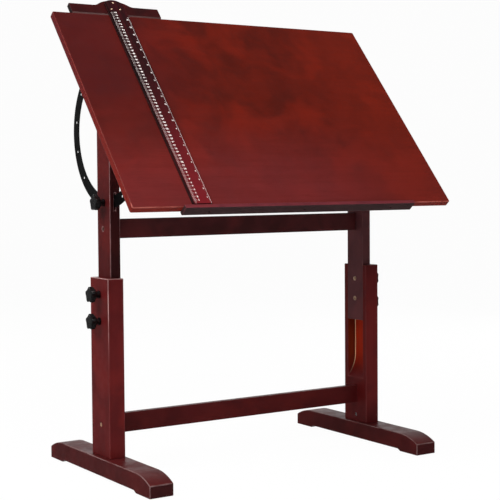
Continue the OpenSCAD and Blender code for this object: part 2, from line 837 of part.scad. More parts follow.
placed() pivot_bolts();
placed() pivot_washers();
placed() pivot_nuts();
placed() tabletop();
placed() ledge();
placed() ledge_screws();
placed() batten(-1);  // batten_left
placed() batten(1);  // batten_right
placed() batten_screws();
placed() tilt_arc(-1);  // tilt_arc_left
placed() tilt_arc(1);  // tilt_arc_right
placed() arc_screws();
placed() t_square_head();
placed() t_square_blade();
placed() t_square_rivets();
placed() knob(-1, upper_outer_x, tilt_knob_z);  // tilt_knob_left
placed() knob(1, upper_outer_x, tilt_knob_z);  // tilt_knob_right
placed() tilt_stud(-1);  // tilt_stud_left
placed() tilt_stud(1);  // tilt_stud_right
placed() knob(-1, post_outer_x, knob_heights[0]);  // height_knob_left_lower
placed() knob(-1, post_outer_x, knob_heights[1]);  // height_knob_left_upper
placed() knob(1, post_outer_x, knob_heights[0]);  // height_knob_right_lower
placed() knob(1, post_outer_x, knob_heights[1]);  // height_knob_right_upper
placed() height_stud(-1, knob_heights[0]);  // height_stud_left_lower
placed() height_stud(-1, knob_heights[1]);  // height_stud_left_upper
placed() height_stud(1, knob_heights[0]);  // height_stud_right_lower
placed() height_stud(1, knob_heights[1]);  // height_stud_right_upper
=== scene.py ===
"""The drafting table's looks: softened edges, procedural materials, printed scales and a studio.

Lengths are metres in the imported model's frame: +X to the user's right, +Y away from the user, +Z up.
"""

import json
import math

import bpy
from mathutils import Matrix, Vector


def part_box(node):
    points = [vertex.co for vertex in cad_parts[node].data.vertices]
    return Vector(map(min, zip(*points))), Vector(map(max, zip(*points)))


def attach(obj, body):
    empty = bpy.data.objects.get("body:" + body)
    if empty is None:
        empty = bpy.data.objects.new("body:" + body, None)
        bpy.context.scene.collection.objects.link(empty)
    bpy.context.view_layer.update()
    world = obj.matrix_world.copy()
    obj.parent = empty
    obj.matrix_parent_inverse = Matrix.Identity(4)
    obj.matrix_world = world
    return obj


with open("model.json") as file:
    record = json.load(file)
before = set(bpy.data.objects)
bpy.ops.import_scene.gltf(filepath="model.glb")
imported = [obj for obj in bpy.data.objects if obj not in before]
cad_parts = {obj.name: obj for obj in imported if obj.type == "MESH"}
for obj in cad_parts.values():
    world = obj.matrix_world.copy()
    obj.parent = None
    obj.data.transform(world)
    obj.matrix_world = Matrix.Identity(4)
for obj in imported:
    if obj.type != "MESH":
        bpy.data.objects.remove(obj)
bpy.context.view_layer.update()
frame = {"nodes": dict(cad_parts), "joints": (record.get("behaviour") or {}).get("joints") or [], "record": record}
MM = 0.001

# ---------------------------------------------------------------- the board's own directions

TILT_JOINT = next(joint for joint in frame["joints"] if joint["name"] == "board_tilt")
PIVOT = Vector(TILT_JOINT["pos_m"])
TILT = math.radians(-TILT_JOINT["range_deg"][0])  # the board is level at the joint's lower limit
ACROSS = Vector((1, 0, 0))
UP_SLOPE = Vector((0, math.cos(TILT), math.sin(TILT)))
NORMAL = Vector((0, -math.sin(TILT), math.cos(TILT)))


def board_extent(node):
    """A node's lowest and highest (across, up the slope, out of the board), from the tilt axis."""
    found = [v.co - PIVOT for v in frame["nodes"][node].data.vertices]
    axes = (ACROSS, UP_SLOPE, NORMAL)
    return [min(p.dot(a) for p in found) for a in axes], [max(p.dot(a) for p in found) for a in axes]


def board_point(across, up, out):
    """A point given from the tilt axis in the board's own directions."""
    return PIVOT + ACROSS * across + UP_SLOPE * up + NORMAL * out


# ---------------------------------------------------------------- node helpers


class Nodes:
    """A small wrapper that adds and links shader nodes."""

    def __init__(self, material):
        material.use_nodes = True
        self.tree = material.node_tree
        self.tree.nodes.clear()

    def add(self, kind, settings=None, **inputs):
        """Adds a node. Settings are its properties; inputs are values or sockets, by the input's name."""
        node = self.tree.nodes.new("ShaderNode" + kind)
        for key, value in (settings or {}).items():
            setattr(node, key, value)
        for key, value in inputs.items():
            self.put(node.inputs[key.replace("_", " ")], value)
        return node

    def put(self, socket, value):
        """Sets an input's value, or links a socket into it."""
        if isinstance(value, bpy.types.NodeSocket):
            self.tree.links.new(value, socket)
        else:
            socket.default_value = value

    def math(self, operation, a, b=0.0):
        node = self.tree.nodes.new("ShaderNodeMath")
        node.operation = operation
        self.put(node.inputs[0], a)
        self.put(node.inputs[1], b)
        return node.outputs[0]

    def span(self, value, low, high, to_low=0.0, to_high=1.0):
        """Maps low..high to to_low..to_high, smoothly and with the ends held."""
        node = self.tree.nodes.new("ShaderNodeMapRange")
        node.interpolation_type = "SMOOTHSTEP"
        for index, item in enumerate((value, low, high, to_low, to_high)):
            self.put(node.inputs[index], item)
        return node.outputs[0]

    def mix(self, factor, a, b, blend="MIX"):
        node = self.tree.nodes.new("ShaderNodeMix")
        node.data_type = "RGBA"
        node.blend_type = blend
        self.put(node.inputs["Factor"], factor)
        self.put(node.inputs[6], a)
        self.put(node.inputs[7], b)
        return node.outputs[2]

    def noise(self, vector, scale, detail=2.0, roughness=0.5, distortion=0.0):
        node = self.add("TexNoise", Vector=vector, Scale=scale, Detail=detail, Roughness=roughness,
                        Distortion=distortion)
        return node.outputs["Fac"]

    def stretched(self, vector, scale, turn=(0, 0, 0), shift=(0, 0, 0)):
        node = self.add("Mapping", Vector=vector, Scale=scale, Rotation=turn, Location=shift)
        return node.outputs["Vector"]

    def along(self, vector, direction):
        """How far a shader vector goes along a fixed direction."""
        product = self.add("VectorMath", {"operation": "DOT_PRODUCT"})
        self.put(product.inputs[0], vector)
        self.put(product.inputs[1], tuple(direction))
        return product.outputs["Value"]

    def part(self, vector, axis):
        """One component of a shader vector."""
        return self.add("SeparateXYZ", Vector=vector).outputs[axis]

    def finish(self, **inputs):
        """Ends the material with a Principled surface."""
        surface = self.add("BsdfPrincipled", **inputs)
        output = self.tree.nodes.new("ShaderNodeOutputMaterial")
        self.tree.links.new(surface.outputs[0], output.inputs["Surface"])


def rgb(red, green, blue):
    return (red, green, blue, 1.0)


# Principled specular level of satin lacquer and enamel, well under the usual 0.5
LACQUER = 0.12
# The channel's bare wood is taken a hair past its walls
CHANNEL_HAIR = 0.8 * MM
# How far inside the channel's mouth its floor and walls, and then its arrises, start to be bare
MOUTH_DEPTH = 0.1 * MM
ARRIS_MOUTH_DEPTH = 3.0 * MM
# Where the bare wood starts, measured from the upper post's lower end, and the run that it fades in over
FADE_START = -150 * MM
FADE_RUN = 65 * MM
# Width of the black edging along the left of the T-square's blade, with its painted contact shadow
EDGING_AND_SHADOW_W = 5.6 * MM


# ---------------------------------------------------------------- wood

# Each stain: dark patches, main tone, warm patches, and the arris tone: the thinner stain on the arrises, where it
# is paler also a painted highlight
FRAME_STAIN = (rgb(0.086, 0.0072, 0.0078), rgb(0.114, 0.0092, 0.0096), rgb(0.138, 0.0105, 0.0095),
               rgb(0.150, 0.0300, 0.0300))
# The feet's pale arris tone is a painted highlight along their edges
FOOT_STAIN = (rgb(0.092, 0.0110, 0.0115), rgb(0.122, 0.0140, 0.0145), rgb(0.142, 0.0150, 0.0145),
              rgb(0.300, 0.1700, 0.1650))
# The frame's stain with a pale arris tone: a painted highlight along the left upper post's front arris
UPPER_HIGHLIGHT_STAIN = FRAME_STAIN[:3] + (rgb(0.340, 0.1800, 0.1800),)
# The right upper post's stain greyed by a painted reflection and darkened a little with painted shade
GREY_SHEEN_STAIN = (rgb(0.076, 0.0240, 0.0270), rgb(0.096, 0.0300, 0.0330), rgb(0.114, 0.0310, 0.0330),
              rgb(0.110, 0.0500, 0.0500))
# The crossbar's stain darkened with painted shade from the board above it, with a faint painted grey sheen
CROSSBAR_SHADED_STAIN = (rgb(0.050, 0.0110, 0.0115), rgb(0.070, 0.0140, 0.0150), rgb(0.100, 0.0160, 0.0165),
                  rgb(0.050, 0.0200, 0.0200))
BOARD_STAIN = (rgb(0.070, 0.0052, 0.0022), rgb(0.100, 0.0066, 0.0024), rgb(0.146, 0.0085, 0.0026),
               rgb(0.130, 0.0130, 0.0090))
# The ledge's stain is pinkish, partly a painted reflection on its top
LEDGE_STAIN_AND_SHEEN = (rgb(0.100, 0.0160, 0.0220), rgb(0.135, 0.0210, 0.0280), rgb(0.160, 0.0230, 0.0280),
               rgb(0.120, 0.0300, 0.0350))
HEAD_STAIN = (rgb(0.022, 0.0028, 0.0032), rgb(0.036, 0.0034, 0.0038), rgb(0.058, 0.0038, 0.0038),
              rgb(0.040, 0.0120, 0.0120))
BLADE_STAIN = (rgb(0.110, 0.0070, 0.0100), rgb(0.150, 0.0085, 0.0125), rgb(0.185, 0.0095, 0.0120),
               rgb(0.060, 0.0100, 0.0110))
BOARD_UPPER_LEFT = rgb(0.056, 0.0060, 0.0068)
BOARD_RIGHT = rgb(0.178, 0.0110, 0.0030)
BOARD_FRONT_SHEEN = rgb(0.134, 0.0165, 0.0180)
BOARD_EDGE = rgb(0.170, 0.0130, 0.0085)
BOARD_EDGE_HIGH = rgb(0.095, 0.0070, 0.0085)
BOARD_UNDER_SHADE = rgb(0.020, 0.0030, 0.0030)
BOARD_FRONT_HIGHLIGHT = rgb(0.420, 0.1150, 0.0900)
LEDGE_FRONT = rgb(0.042, 0.0190, 0.0200)
POST_TOP_HIGHLIGHT = rgb(0.440, 0.2700, 0.2600)
HEAD_EDGE = rgb(0.012, 0.0060, 0.0060)
HEAD_CHAMFER_HIGHLIGHT = rgb(0.150, 0.0800, 0.0760)
BLADE_BROWN = rgb(0.017, 0.0028, 0.0038)
BLACK_EDGING_AND_SHADOW = rgb(0.0015, 0.0012, 0.0012)
# The bare channel's floor and walls, each between two tones of its grain; the walls are darker with painted shade
BARE_FLOOR = (rgb(0.34, 0.0180, 0.0050), rgb(0.48, 0.0320, 0.0085))
BARE_WALL_SHADED = (rgb(0.12, 0.0130, 0.0040), rgb(0.18, 0.0200, 0.0060))
# A painted highlight on the bare arrises at the channel's corners
BARE_ARRIS_HIGHLIGHT = rgb(0.98, 0.6200, 0.3600)

# Each piece's noise starts this far from the last one's
SEED_STEP = (0.37, 0.91, 0.53)
# Scale of the grain along each axis: low along the grain, high across it
GRAIN = {"X": (3.0, 70.0, 70.0), "Y": (70.0, 3.0, 70.0), "Z": (70.0, 70.0, 3.0)}
PORES = {"X": (30.0, 700.0, 700.0), "Y": (700.0, 30.0, 700.0), "Z": (700.0, 700.0, 30.0)}


def shaded(palette, shade):
    """A stain made darker or paler for one piece: partly how it took the stain, partly painted shade where the
    piece gets less light.
    """
    return [tuple(part * shade for part in tone[:3]) + (1.0,) for tone in palette]


def stained_wood(name, palette, axis, seed, cloud_scale, arris=False, tilted=False, bare=False,
                 edge_tone=None, drift=None, front_shade=None, arris_light=None):
    """A translucent red stain under satin lacquer: cloudy tone, grain streaks, pores and uneven gloss.

    edge_tone is a colour, or a function of (n, place), for the faces at right angles to the board.
    drift(n, place, colour) varies the colour over the piece, with stain and some painted light, and the arris
    function (n, place, arris mask, colour) paints highlight and shade on its arrises.
    """
    deep, main, warm, arris_wear_and_highlight = palette
    material = bpy.data.materials.new(name)
    n = Nodes(material)
    place = n.add("TexCoord")
    turn = (-TILT, 0, 0) if tilted else (0, 0, 0)
    shift = tuple(step * seed for step in SEED_STEP)
    spot = n.stretched(place.outputs["Object"], (1, 1, 1), turn, shift)
    grain = n.noise(n.stretched(spot, GRAIN[axis]), 1.0, 5.0, 0.62, 0.4)
    pores = n.noise(n.stretched(spot, PORES[axis]), 1.0, 2.0, 0.6)
    cloud = n.noise(spot, cloud_scale, 4.0, 0.55, 0.3)
    patch = n.noise(spot, cloud_scale * 0.55, 3.0, 0.5, 0.5)
    smudge = n.noise(spot, 34.0, 3.0, 0.6)

    colour = n.mix(n.span(cloud, 0.36, 0.64), deep, main)
    colour = n.mix(n.span(patch, 0.44, 0.66, 0.0, 0.9), colour, warm)
    if drift:
        colour = drift(n, place, colour)
    colour = n.mix(n.span(grain, 0.35, 0.62, 0.18, 0.0), colour, deep)
    colour = n.mix(n.span(pores, 0.56, 0.72, 0.0, 0.35), colour, deep)
    if edge_tone:
        tone = edge_tone(n, place) if callable(edge_tone) else edge_tone
        colour = n.mix(off_face(n, place), colour, tone)
    if front_shade:
        # Painted shade on the faces turned to the front
        to_front = n.span(n.part(place.outputs["Normal"], "Y"), -0.5, -0.95)
        colour = n.mix(to_front, colour, front_shade, "MULTIPLY")
    if arris:
        # Patchy paler arrises: worn stain and painted highlight
        wear_and_highlight = n.span(n.noise(spot, 24.0, 3.0, 0.6), 0.30, 0.62, 0.25, 0.90)
        colour = n.mix(wear_and_highlight, colour, arris_wear_and_highlight)
        if arris_light:
            colour = arris_light(n, place, wear_and_highlight, colour)
    if bare:
        colour = n.mix(channel_mask(n, place, arris), colour, bare_channel(n, place, grain, arris))
    gloss = n.span(smudge, 0.3, 0.7, 0.36, 0.50)
    height = n.math("ADD", n.math("MULTIPLY", grain, 0.6), n.math("MULTIPLY", pores, 0.4))
    bump = n.add("Bump", Strength=0.12, Distance=0.0004, Height=height)
    n.finish(Base_Color=colour, Roughness=gloss, Normal=bump.outputs["Normal"], Specular_IOR_Level=LACQUER)
    return material


def off_face(n, place):
    """1 on the board's edges and 0 on its two faces."""
    return n.span(n.math("ABSOLUTE", n.along(place.outputs["Normal"], NORMAL)), 0.85, 0.35)


def board_place(n, place):
    """How far a point is across the board and up its slope from the tilt axis."""
    local = n.add("VectorMath", {"operation": "SUBTRACT"})
    n.put(local.inputs[0], place.outputs["Object"])
    n.put(local.inputs[1], tuple(PIVOT))
    from_axis = local.outputs["Vector"]
    return n.part(from_axis, "X"), n.along(from_axis, UP_SLOPE)


def board_drift(n, place, colour):
    """The board gets a painted pink reflection towards its front; it is deeper at its upper left and warmer on its
    right.
    """
    across, up = board_place(n, place)
    upper_left = n.math("MULTIPLY", n.span(across, 0.0, -0.40), n.span(up, -0.20, 0.10))
    colour = n.mix(n.math("MULTIPLY", upper_left, 0.85), colour, BOARD_UPPER_LEFT)
    colour = n.mix(n.span(across, 0.10, 0.42, 0.0, 0.50), colour, BOARD_RIGHT)
    # Painted reflection: pinker towards the board's front, less on its right
    pink = n.math("MULTIPLY", n.span(up, 0.02, -0.28), n.span(across, 0.38, 0.0, 0.25, 0.75))
    return n.mix(pink, colour, BOARD_FRONT_SHEEN)


def board_edge_tone(n, place):
    """The board's edges are brighter low down than high up."""
    return n.mix(n.span(board_place(n, place)[1], -0.25, 0.25), BOARD_EDGE, BOARD_EDGE_HIGH)


def board_rub(n, place, wear_and_highlight, colour):
    """The board's front arris gets a painted highlight, and its lower arrises painted shade."""
    front = n.span(board_place(n, place)[1], -0.285, -0.295, 0.0, 0.9)
    colour = n.mix(n.math("MULTIPLY", front, wear_and_highlight), colour, BOARD_FRONT_HIGHLIGHT)
    under = n.span(n.along(place.outputs["Normal"], NORMAL), -0.2, -0.6)
    return n.mix(under, colour, BOARD_UNDER_SHADE)


def post_rub(n, place, wear_and_highlight, colour):
    """A lower post's arrises get a painted highlight towards its top."""
    high = n.span(n.part(place.outputs["Object"], "Z"), *POST_HIGHLIGHT_RISE)
    return n.mix(n.math("MULTIPLY", high, wear_and_highlight), colour, POST_TOP_HIGHLIGHT)


def blade_drift(n, place, colour):
    """The blade is redder low down and purplish brown higher up, a painted change in its reflection, with a black
    edging on its left that is partly painted contact shadow.
    """
    low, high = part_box("t_square_blade")
    position = place.outputs["Object"]
    brown = n.span(n.part(position, "Z"), low.z, low.z + 0.65 * (high.z - low.z))
    colour = n.mix(brown, colour, BLADE_BROWN)
    edging = n.math("LESS_THAN", n.part(position, "X"), low.x + EDGING_AND_SHADOW_W)
    return n.mix(edging, colour, BLACK_EDGING_AND_SHADOW)


def head_drift(n, place, colour):
    """The chamfer along the head's lower edge gets a painted highlight: a paler line."""
    facing = n.along(place.outputs["Normal"], (NORMAL - UP_SLOPE).normalized())
    return n.mix(n.span(facing, 0.93, 0.98), colour, HEAD_CHAMFER_HIGHLIGHT)


def channel_mask(n, place, arris):
    """1 in the lower posts' channels, fading out down the cutter's run-out, and 0 elsewhere.

    The arrises at the channel's mouth kept their stain, so for an arris it starts deeper in.
    """
    lower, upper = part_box("lower_post_right"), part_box("upper_post_right")
    position = place.outputs["Object"]
    across = n.math("ABSOLUTE", n.part(position, "X"))
    off_middle = n.math("ABSOLUTE", n.math("SUBTRACT", n.part(position, "Y"), PIVOT.y))
    mask = n.math("GREATER_THAN", across, lower[0].x + (ARRIS_MOUTH_DEPTH if arris else MOUTH_DEPTH))
    mask = n.math("MULTIPLY", mask, n.math("LESS_THAN", across, upper[1].x + CHANNEL_HAIR))
    mask = n.math("MULTIPLY", mask, n.math("LESS_THAN", off_middle, upper[1].y - PIVOT.y + CHANNEL_HAIR))
    low = upper[0].z + FADE_START
    return n.math("MULTIPLY", mask, n.span(n.part(position, "Z"), low, low + FADE_RUN))


def bare_channel(n, place, grain, arris):
    """The unlacquered orange wood where the posts' channels were cut after staining, with painted shade on its
    walls and a painted highlight on its arrises.
    """
    if arris:
        return BARE_ARRIS_HIGHLIGHT
    is_floor = n.span(n.math("ABSOLUTE", n.part(place.outputs["Normal"], "X")), 0.3, 0.7)
    streak = n.span(grain, 0.3, 0.7)
    return n.mix(is_floor, n.mix(streak, *BARE_WALL_SHADED), n.mix(streak, *BARE_FLOOR))


# ---------------------------------------------------------------- metal, plastic and print

# Share of a plated metal's reflection that is metallic; the rest is its dull, oxidised skin
PLATED = 0.75


def black_enamel(name):
    """Satin black enamel on steel: faint orange peel, and grey rubs."""
    material = bpy.data.materials.new(name)
    n = Nodes(material)
    spot = n.add("TexCoord").outputs["Object"]
    rubs = n.span(n.noise(spot, 60.0, 5.0, 0.7), 0.55, 0.75, 0.0, 0.5)
    colour = n.mix(rubs, rgb(0.0020, 0.0020, 0.0022), rgb(0.008, 0.008, 0.009))
    gloss = n.span(n.noise(spot, 25.0, 3.0), 0.3, 0.7, 0.42, 0.58)
    peel = n.add("Bump", Strength=0.15, Distance=0.0002, Height=n.noise(spot, 900.0, 2.0))
    n.finish(Base_Color=colour, Roughness=gloss, Normal=peel.outputs["Normal"], Specular_IOR_Level=LACQUER)
    return material


def moulded_plastic(name):
    """Black moulded plastic with a fine spark-eroded grain and handled patches that are shinier."""
    material = bpy.data.materials.new(name)
    n = Nodes(material)
    spot = n.add("TexCoord").outputs["Object"]
    handled = n.noise(spot, 70.0, 3.0)
    colour = n.mix(handled, rgb(0.0025, 0.0025, 0.0025), rgb(0.0050, 0.0050, 0.0052))
    gloss = n.span(handled, 0.35, 0.65, 0.24, 0.36)
    grain = n.add("Bump", Strength=0.2, Distance=0.00015, Height=n.noise(spot, 1600.0, 2.0))
    n.finish(Base_Color=colour, Roughness=gloss, Normal=grain.outputs["Normal"])
    return material


def plated_metal(name, clean, dull, gloss):
    """Plated steel or brass: fine turning marks, and a duller bloom in patches."""
    material = bpy.data.materials.new(name)
    n = Nodes(material)
    spot = n.add("TexCoord").outputs["Object"]
    bloom = n.span(n.noise(spot, 180.0, 4.0, 0.6), 0.4, 0.7)
    turning = n.noise(n.stretched(spot, (4000, 300, 300)), 1.0, 2.0)
    rough = n.math("ADD", n.math("MULTIPLY", bloom, 0.18), gloss)
    marks = n.add("Bump", Strength=0.2, Distance=0.0001, Height=turning)
    n.finish(Base_Color=n.mix(bloom, clean, dull), Metallic=PLATED, Roughness=rough,
             Normal=marks.outputs["Normal"])
    return material


def bare_beech(name):
    """Pale dowel wood with short flecks."""
    material = bpy.data.materials.new(name)
    n = Nodes(material)
    spot = n.add("TexCoord").outputs["Object"]
    fleck = n.noise(n.stretched(spot, (60, 400, 400)), 1.0, 3.0)
    colour = n.mix(n.span(fleck, 0.4, 0.65), rgb(0.52, 0.33, 0.17), rgb(0.36, 0.20, 0.09))
    n.finish(Base_Color=colour, Roughness=0.6)
    return material


def printed_white(name):
    """Screen-printed white ink, a little thin and yellowed in places."""
    material = bpy.data.materials.new(name)
    n = Nodes(material)
    spot = n.add("TexCoord").outputs["Object"]
    thin = n.span(n.noise(spot, 220.0, 3.0, 0.6), 0.42, 0.72)
    n.finish(Base_Color=n.mix(thin, rgb(0.82, 0.77, 0.75), rgb(0.54, 0.42, 0.40)), Roughness=0.55)
    return material


# ---------------------------------------------------------------- dressing the CAD nodes


def dress(node, *materials):
    """Gives a CAD node its materials: the main one, and then the one for its softened edges."""
    slots = frame["nodes"][node].data.materials
    slots.clear()
    for material in materials:
        slots.append(material)


# CAD vertices closer than this are one, faces flatter than this are one, and edges sharper are softened
WELD_GAP = 0.02 * MM
FLAT_ANGLE = math.radians(0.4)
SHARP_ANGLE = math.radians(38)


def soften(node, width, segments=3, edge_slot=1):
    """Rounds a CAD node's sharp edges with modifiers, so that its own mesh stays as it is."""
    piece = frame["nodes"][node]
    weld = piece.modifiers.new("weld", "WELD")
    weld.merge_threshold = WELD_GAP
    flat = piece.modifiers.new("flat", "DECIMATE")
    flat.decimate_type = "DISSOLVE"
    flat.angle_limit = FLAT_ANGLE
    bevel = piece.modifiers.new("bevel", "BEVEL")
    bevel.width = width
    bevel.segments = segments
    bevel.limit_method = "ANGLE"
    bevel.angle_limit = SHARP_ANGLE
    bevel.use_clamp_overlap = False
    bevel.loop_slide = False
    bevel.material = edge_slot
    shade = piece.modifiers.new("shade", "WEIGHTED_NORMAL")
    shade.mode = "FACE_AREA"
    shade.weight = 100
    shade.keep_sharp = False


# Node, stain, how dark it is made (how it took the stain, and partly painted shade), grain axis, lies in the
# board's directions, softened edges in mm
WOOD = [
    ("foot_left", FOOT_STAIN, 0.62, "Y", False, 1.8),
    ("foot_right", FOOT_STAIN, 0.55, "Y", False, 1.8),
    ("lower_post_left", FRAME_STAIN, 1.00, "Z", False, 1.5),
    ("lower_post_right", FRAME_STAIN, 0.84, "Z", False, 1.5),
    ("lower_stretcher", FRAME_STAIN, 0.58, "X", False, 1.2),
    ("upper_post_left", UPPER_HIGHLIGHT_STAIN, 0.74, "Z", False, 1.5),
    ("upper_post_right", GREY_SHEEN_STAIN, 1.00, "Z", False, 1.5),
    ("upper_crossbar", CROSSBAR_SHADED_STAIN, 1.00, "X", False, 1.2),
    ("batten_left", FRAME_STAIN, 0.90, "Y", True, 1.5),
    ("batten_right", FRAME_STAIN, 0.90, "Y", True, 1.5),
    ("tabletop", BOARD_STAIN, 1.00, "X", True, 2.0),
    ("ledge", LEDGE_STAIN_AND_SHEEN, 1.00, "X", True, 0.8),
    ("t_square_head", HEAD_STAIN, 1.00, "X", True, 0.8),
    ("t_square_blade", BLADE_STAIN, 1.00, "Y", True, 0.35),
]
EDGE_TONE = {"tabletop": board_edge_tone, "ledge": LEDGE_FRONT, "t_square_head": HEAD_EDGE,
             "t_square_blade": BLACK_EDGING_AND_SHADOW}
DRIFT = {"tabletop": board_drift, "t_square_blade": blade_drift, "t_square_head": head_drift}
ARRIS_LIGHT = {"tabletop": board_rub, "lower_post_left": post_rub}
# The heights where a lower post's arrises start to get a painted highlight, and get it fully
POST_HIGHLIGHT_RISE = (0.25, 0.44)
# The faces turned to the front are darkened with painted shade
FRONT_SHADE = {"upper_post_left": rgb(0.45, 0.80, 0.85), "foot_left": rgb(0.50, 0.70, 0.75),
              "foot_right": rgb(0.75, 0.85, 0.90)}
# Scale of the stain's clouds, for the board and for everything else
BOARD_CLOUDS = 13.0
FRAME_CLOUDS = 16.0
# Widths of the softened edges on the arcs and on the knobs
ARC_EDGE = 0.4 * MM
KNOB_EDGE = 0.7 * MM


def dress_wood():
    for seed, (node, stain, shade, axis, tilted, edge) in enumerate(WOOD, start=1):
        options = {"tilted": tilted, "bare": node.startswith("lower_post"),
                   "cloud_scale": BOARD_CLOUDS if node == "tabletop" else FRAME_CLOUDS,
                   "edge_tone": EDGE_TONE.get(node), "drift": DRIFT.get(node),
                   "front_shade": FRONT_SHADE.get(node), "arris_light": ARRIS_LIGHT.get(node)}
        palette = shaded(stain, shade)
        face = stained_wood(node + "_wood", palette, axis, seed, **options)
        rim = stained_wood(node + "_arris", palette, axis, seed, arris=True, **options)
        dress(node, face, rim)
        soften(node, edge * MM)


def dress_hardware():
    enamel = black_enamel("black_enamel")
    plastic = moulded_plastic("moulded_plastic")
    zinc = plated_metal("zinc_plate", rgb(0.62, 0.63, 0.65), rgb(0.36, 0.37, 0.39), 0.28)
    brass = plated_metal("brass_plate", rgb(0.86, 0.62, 0.42), rgb(0.56, 0.36, 0.22), 0.40)
    finishes = {"black_steel": enamel, "black_plastic": plastic, "zinc_steel": zinc, "brass": brass,
                "beech": bare_beech("bare_beech")}
    for part in frame["record"]["subparts"]:
        if part["material_slot"] in finishes:
            dress(part["node"], finishes[part["material_slot"]])
    # The crossbar bolts' brass is darkened with painted shade: their heads sit in recesses under the board
    dress("crossbar_bolts", plated_metal("shaded_brass", rgb(0.20, 0.09, 0.07), rgb(0.09, 0.04, 0.03), 0.50))
    for node in ("tilt_arc_left", "tilt_arc_right"):
        soften(node, ARC_EDGE, segments=2, edge_slot=0)
    for node in frame["nodes"]:
        if "_knob_" in node and not node.endswith(("inserts", "washers")):
            soften(node, KNOB_EDGE, segments=2, edge_slot=0)


# ---------------------------------------------------------------- the T-square's scales

MARK_H = 0.12 * MM
FINE_W = 0.10 * MM
BOLD_W = 0.38 * MM
INCH = 25.4 * MM

# The centimetre scale, measured from the blade's left edge: where its ticks start, and their reach
CM_COUNT = 60
CM_START = 6.8 * MM
CM_REACH = 9.6 * MM
HALF_CM_REACH = 6.4 * MM
MM_REACH = 5.2 * MM
CM_DIGIT_X = 19.7 * MM
CM_DIGIT_H = 5.0 * MM

# The inch scale, measured from the blade's right edge: its line, and the reach of its ticks
INCH_COUNT = 23
INCH_PARTS = 16
INCH_START = 1.7 * MM
LINE_W = 0.45 * MM
INCH_REACH = 3.4 * MM
HALF_INCH_REACH = 2.6 * MM
SIXTEENTH_REACH = 1.8 * MM
INCH_DIGIT_X = 6.6 * MM
INCH_DIGIT_H = 4.0 * MM
# How far below its mark the middle of an inch number stands
INCH_DIGIT_DROP = 8.0 * MM

# Distance between the digits of one number, and how much bolder they are drawn, for digits one unit high
DIGIT_STEP = 0.64
DIGIT_BOLD = 0.10


class Marks:
    """Thin closed solids laid on the T-square's blade, measured from the blade's lower left corner."""

    def __init__(self):
        low, high = board_extent("t_square_blade")
        self.left, self.right, self.low, self.top = low[0], high[0], low[1], high[2]
        self.vertices = []
        self.faces = []
        self.digits = {str(d): digit_mesh(str(d)) for d in range(10)}

    def add(self, points, faces):
        start = len(self.vertices)
        self.vertices += [board_point(x, self.low + y, self.top + z) for x, y, z in points]
        self.faces += [[start + i for i in face] for face in faces]

    def bar(self, x0, x1, y, width):
        """A tick across the blade, centred on y."""
        self.block(x0, x1, y - width / 2, y + width / 2)

    def block(self, x0, x1, y0, y1):
        points = [(x, yy, z) for z in (0, MARK_H) for x, yy in ((x0, y0), (x1, y0), (x1, y1), (x0, y1))]
        sides = [(i, (i + 1) % 4, (i + 1) % 4 + 4, i + 4) for i in range(4)]
        self.add(points, [(3, 2, 1, 0), (4, 5, 6, 7)] + sides)

    def number(self, value, x, y, height):
        """A number centred on x and y."""
        text = str(value)
        for place, digit in enumerate(text):
            centre = x + (place - (len(text) - 1) / 2) * height * DIGIT_STEP
            points, faces = self.digits[digit]
            self.add([(centre + px * height, y + py * height, pz * MARK_H) for px, py, pz in points], faces)


def digit_mesh(digit):
    """Points and faces of one raised digit, centred on the origin, one unit high and one unit thick."""
    curve = bpy.data.curves.new("digit", "FONT")
    curve.body = digit
    curve.resolution_u = 2
    curve.extrude = 0.05
    curve.offset = DIGIT_BOLD
    text = bpy.data.objects.new("digit", curve)
    bpy.context.scene.collection.objects.link(text)
    made = text.evaluated_get(bpy.context.evaluated_depsgraph_get())
    mesh = made.to_mesh()
    xs, ys, zs = zip(*[v.co for v in mesh.vertices])
    scale = 1 / (max(ys) - min(ys))
    mid_x, mid_y, low_z = (min(xs) + max(xs)) / 2, (min(ys) + max(ys)) / 2, min(zs)
    rise = 1 / (max(zs) - low_z)
    points = [((x - mid_x) * scale, (y - mid_y) * scale, (z - low_z) * rise) for x, y, z in zip(xs, ys, zs)]
    faces = [tuple(face.vertices) for face in mesh.polygons]
    made.to_mesh_clear()
    bpy.data.objects.remove(text)
    return points, faces


def make_scales():
    """Centimetres up the blade's left edge and inches up its right edge, both from the lower end."""
    marks = Marks()
    left = marks.left + CM_START
    for tick in range(1, 10 * CM_COUNT + 1):
        reach = {0: CM_REACH, 5: HALF_CM_REACH}.get(tick % 10, MM_REACH)
        marks.bar(left, left + reach, tick * MM, BOLD_W if tick % 10 == 0 else FINE_W)
    for centimetre in range(1, CM_COUNT + 1):
        marks.number(centimetre, marks.left + CM_DIGIT_X, centimetre * 10 * MM, CM_DIGIT_H)

    right = marks.right - INCH_START
    for tick in range(1, INCH_PARTS * INCH_COUNT + 1):
        past = tick % INCH_PARTS
        reach = {0: INCH_REACH, INCH_PARTS // 2: HALF_INCH_REACH}.get(past, SIXTEENTH_REACH)
        marks.bar(right - reach, right, tick * INCH / INCH_PARTS, FINE_W if past else BOLD_W)
    for inch in range(1, INCH_COUNT + 1):
        marks.number(inch, marks.right - INCH_DIGIT_X, inch * INCH - INCH_DIGIT_DROP, INCH_DIGIT_H)
    marks.block(right - LINE_W, right, INCH / INCH_PARTS, INCH_COUNT * INCH)

    mesh = bpy.data.meshes.new("t_square_scales")
    mesh.from_pydata(marks.vertices, [], marks.faces)
    piece = bpy.data.objects.new("t_square_scales", mesh)
    bpy.context.scene.collection.objects.link(piece)
    mesh.materials.append(printed_white("printed_white"))
    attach(piece, "t_square")


# ---------------------------------------------------------------- studio and camera

